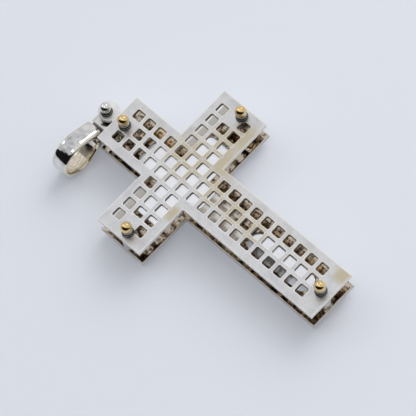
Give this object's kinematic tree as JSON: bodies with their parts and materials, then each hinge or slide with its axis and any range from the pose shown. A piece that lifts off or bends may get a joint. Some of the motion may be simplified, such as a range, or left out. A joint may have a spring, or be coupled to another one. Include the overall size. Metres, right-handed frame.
{
  "type": "cross pendant",
  "caption": "Latin cross pendant of two pierced plates held apart by ball-headed rivets, with a ring bail that swivels at its top.",
  "frame": {"origin": "on the table, under the middle of the pendant's bounding box", "axes": "+X across the arms, +Y up the cross towards the bail, +Z out of the front plate, up from the table"},
  "size_m": [0.0308, 0.0534, 0.0102],
  "materials": {
    "white_gold_satin": "satin white gold, faintly warm where the plating is worn",
    "white_gold_polished": "polished white gold",
    "yellow_gold": "polished yellow gold"
  },
  "bodies": {
    "cross": {"front_plate": "white_gold_satin", "back_plate": "white_gold_satin", "spacer_top": "white_gold_polished", "spacer_left": "white_gold_polished", "spacer_right": "white_gold_polished", "spacer_foot": "white_gold_polished", "collar_top": "white_gold_polished", "collar_left": "white_gold_polished", "collar_right": "white_gold_polished", "collar_foot": "white_gold_polished", "rivet_top": "yellow_gold", "rivet_left": "yellow_gold", "rivet_right": "yellow_gold", "rivet_foot": "yellow_gold", "bail_collar": "white_gold_polished", "bail_rivet": "white_gold_polished"},
    "bail_ring": {"bail": "white_gold_polished"}
  },
  "joints": [
    {"name": "bail_swivel", "type": "hinge", "parent": "cross", "child": "bail_ring", "pos_m": [-0.0005, 0.0248, 0.00417], "axis": [0, 0, 1], "range_deg": [-180, 0]}
  ]
}
